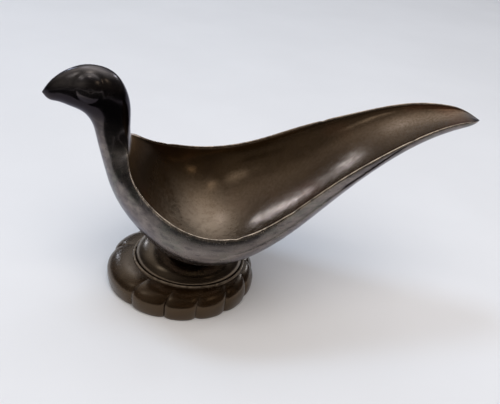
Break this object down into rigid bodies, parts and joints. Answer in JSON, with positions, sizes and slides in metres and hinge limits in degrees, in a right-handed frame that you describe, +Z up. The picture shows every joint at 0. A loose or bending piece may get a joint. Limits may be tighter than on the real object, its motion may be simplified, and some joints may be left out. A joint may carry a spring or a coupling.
{
  "type": "bird-shaped inkwell dish",
  "caption": "Cast bronze desk dish in the shape of a bird: head and neck, open bowl for a back, long tail, on a domed collar and a lobed foot.",
  "frame": {"origin": "under the middle of the whole length, on the plane of symmetry, at the height of the surface that the foot stands on", "axes": "+X from the beak to the tail, +Y to the bird's left hand side across the bowl, +Z up"},
  "size_m": [0.1828, 0.0856, 0.0983],
  "materials": {
    "bird_bronze": "cast bronze with a dark brown patina, satin outside, olive brown and lightly worn inside the bowl, bright brass colour on the rim",
    "collar_bronze": "turned bronze with a dark brown satin patina",
    "foot_bronze": "cast bronze with a dark olive brown satin patina",
    "steel": "dull zinc-plated steel"
  },
  "bodies": {
    "root": {"bird_bowl": "bird_bronze", "pedestal_collar": "collar_bronze", "lobed_foot": "foot_bronze", "centre_stud": "steel", "foot_washer": "steel", "foot_nut": "steel", "index_pin": "steel"}
  },
  "joints": []
}
